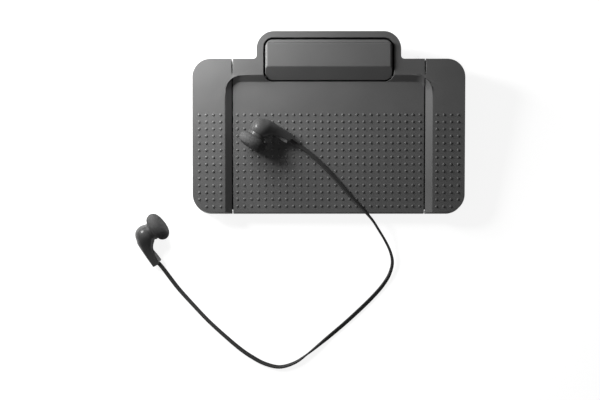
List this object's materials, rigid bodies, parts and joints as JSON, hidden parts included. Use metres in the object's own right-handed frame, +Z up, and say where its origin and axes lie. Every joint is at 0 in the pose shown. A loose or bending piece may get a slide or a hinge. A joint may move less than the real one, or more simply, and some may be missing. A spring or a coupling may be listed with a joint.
{
  "type": "transcription foot control with headset",
  "caption": "Wedge-shaped office foot control with side pedals, a sunken dotted plate pedal and a rear bar pedal, with a two-earphone listening headset lying across it.",
  "frame": {"origin": "middle of the mat's underside, on the resting surface", "axes": "+X to the right across the pedals, +Y towards the hump at the rear, +Z up"},
  "size_m": [0.2564, 0.2592, 0.0452],
  "materials": {
    "tray_plastic": "fine satin texture",
    "pedal_plastic": "fine grained moulding with raised grip dots",
    "bar_plastic": "fine grained moulding",
    "mat_rubber": "matt, non-slip",
    "buffer_rubber": "matt",
    "ballast_steel": "zinc plated",
    "rod_steel": "ground",
    "screw_steel": "zinc plated",
    "spring_steel": "drawn wire",
    "magnet_metal": "nickel plated",
    "board": "solder mask over glass laminate",
    "chip": "moulded epoxy",
    "header_plastic": "natural nylon",
    "ear_plastic": "polished",
    "ear_trim": "polished",
    "driver_metal": "drawn can",
    "grille_metal": "perforated",
    "ear_foam": "open-cell foam",
    "lead_rubber": "soft vinyl"
  },
  "bodies": {
    "base": {"base_tray": "tray_plastic", "ballast_plate": "ballast_steel", "anti_slip_mat": "mat_rubber", "base_screws": "screw_steel", "pedal_rod": "rod_steel", "rod_clips": "spring_steel", "bar_rod": "rod_steel", "circuit_board": "board", "field_sensors": "chip", "controller_chip": "chip", "cord_header": "header_plastic", "board_screws": "screw_steel", "cord_grommet": "mat_rubber", "plate_buffers": "buffer_rubber", "side_buffers": "buffer_rubber", "bar_buffers": "buffer_rubber", "left_spring": "spring_steel", "right_spring": "spring_steel", "centre_springs": "spring_steel", "bar_springs": "spring_steel"},
    "left_side": {"left_pedal": "pedal_plastic", "left_magnet": "magnet_metal"},
    "right_side": {"right_pedal": "pedal_plastic", "right_magnet": "magnet_metal"},
    "centre": {"centre_pedal": "pedal_plastic", "centre_magnet": "magnet_metal"},
    "bar": {"bar_pedal": "bar_plastic", "bar_magnet": "magnet_metal"},
    "headset": {"left_ear_shell": "ear_plastic", "left_ear_cover": "ear_trim", "left_ear_rim": "ear_plastic", "left_ear_driver": "driver_metal", "left_ear_grille": "grille_metal", "left_ear_pad": "ear_foam", "right_ear_shell": "ear_plastic", "right_ear_cover": "ear_trim", "right_ear_rim": "ear_plastic", "right_ear_driver": "driver_metal", "right_ear_grille": "grille_metal", "right_ear_pad": "ear_foam", "headset_lead": "lead_rubber"}
  },
  "joints": [
    {"name": "left_pedal_press", "type": "hinge", "parent": "base", "child": "left_side", "pos_m": [0, 0.036, 0.021], "axis": [1, 0, 0], "range_deg": [0, 2], "stiffness_Nm_per_rad": 3, "springref_deg": -5.73, "deforming": ["left_spring"]},
    {"name": "right_pedal_press", "type": "hinge", "parent": "base", "child": "right_side", "pos_m": [0, 0.036, 0.021], "axis": [1, 0, 0], "range_deg": [0, 2], "stiffness_Nm_per_rad": 3, "springref_deg": -5.73, "deforming": ["right_spring"]},
    {"name": "centre_pedal_press", "type": "hinge", "parent": "base", "child": "centre", "pos_m": [0, 0.036, 0.021], "axis": [1, 0, 0], "range_deg": [0, 2], "stiffness_Nm_per_rad": 6, "springref_deg": -5.73, "deforming": ["centre_springs"]},
    {"name": "bar_pedal_press", "type": "hinge", "parent": "base", "child": "bar", "pos_m": [0, 0.05739, 0.02997], "axis": [1, 0, 0], "range_deg": [0, 5], "stiffness_Nm_per_rad": 0.4, "springref_deg": -8.59, "deforming": ["bar_springs"]},
    {"name": "headset_lift", "type": "slide", "parent": "base", "child": "headset", "axis": [0, 0, 1], "range_m": [0, 0.06]}
  ]
}
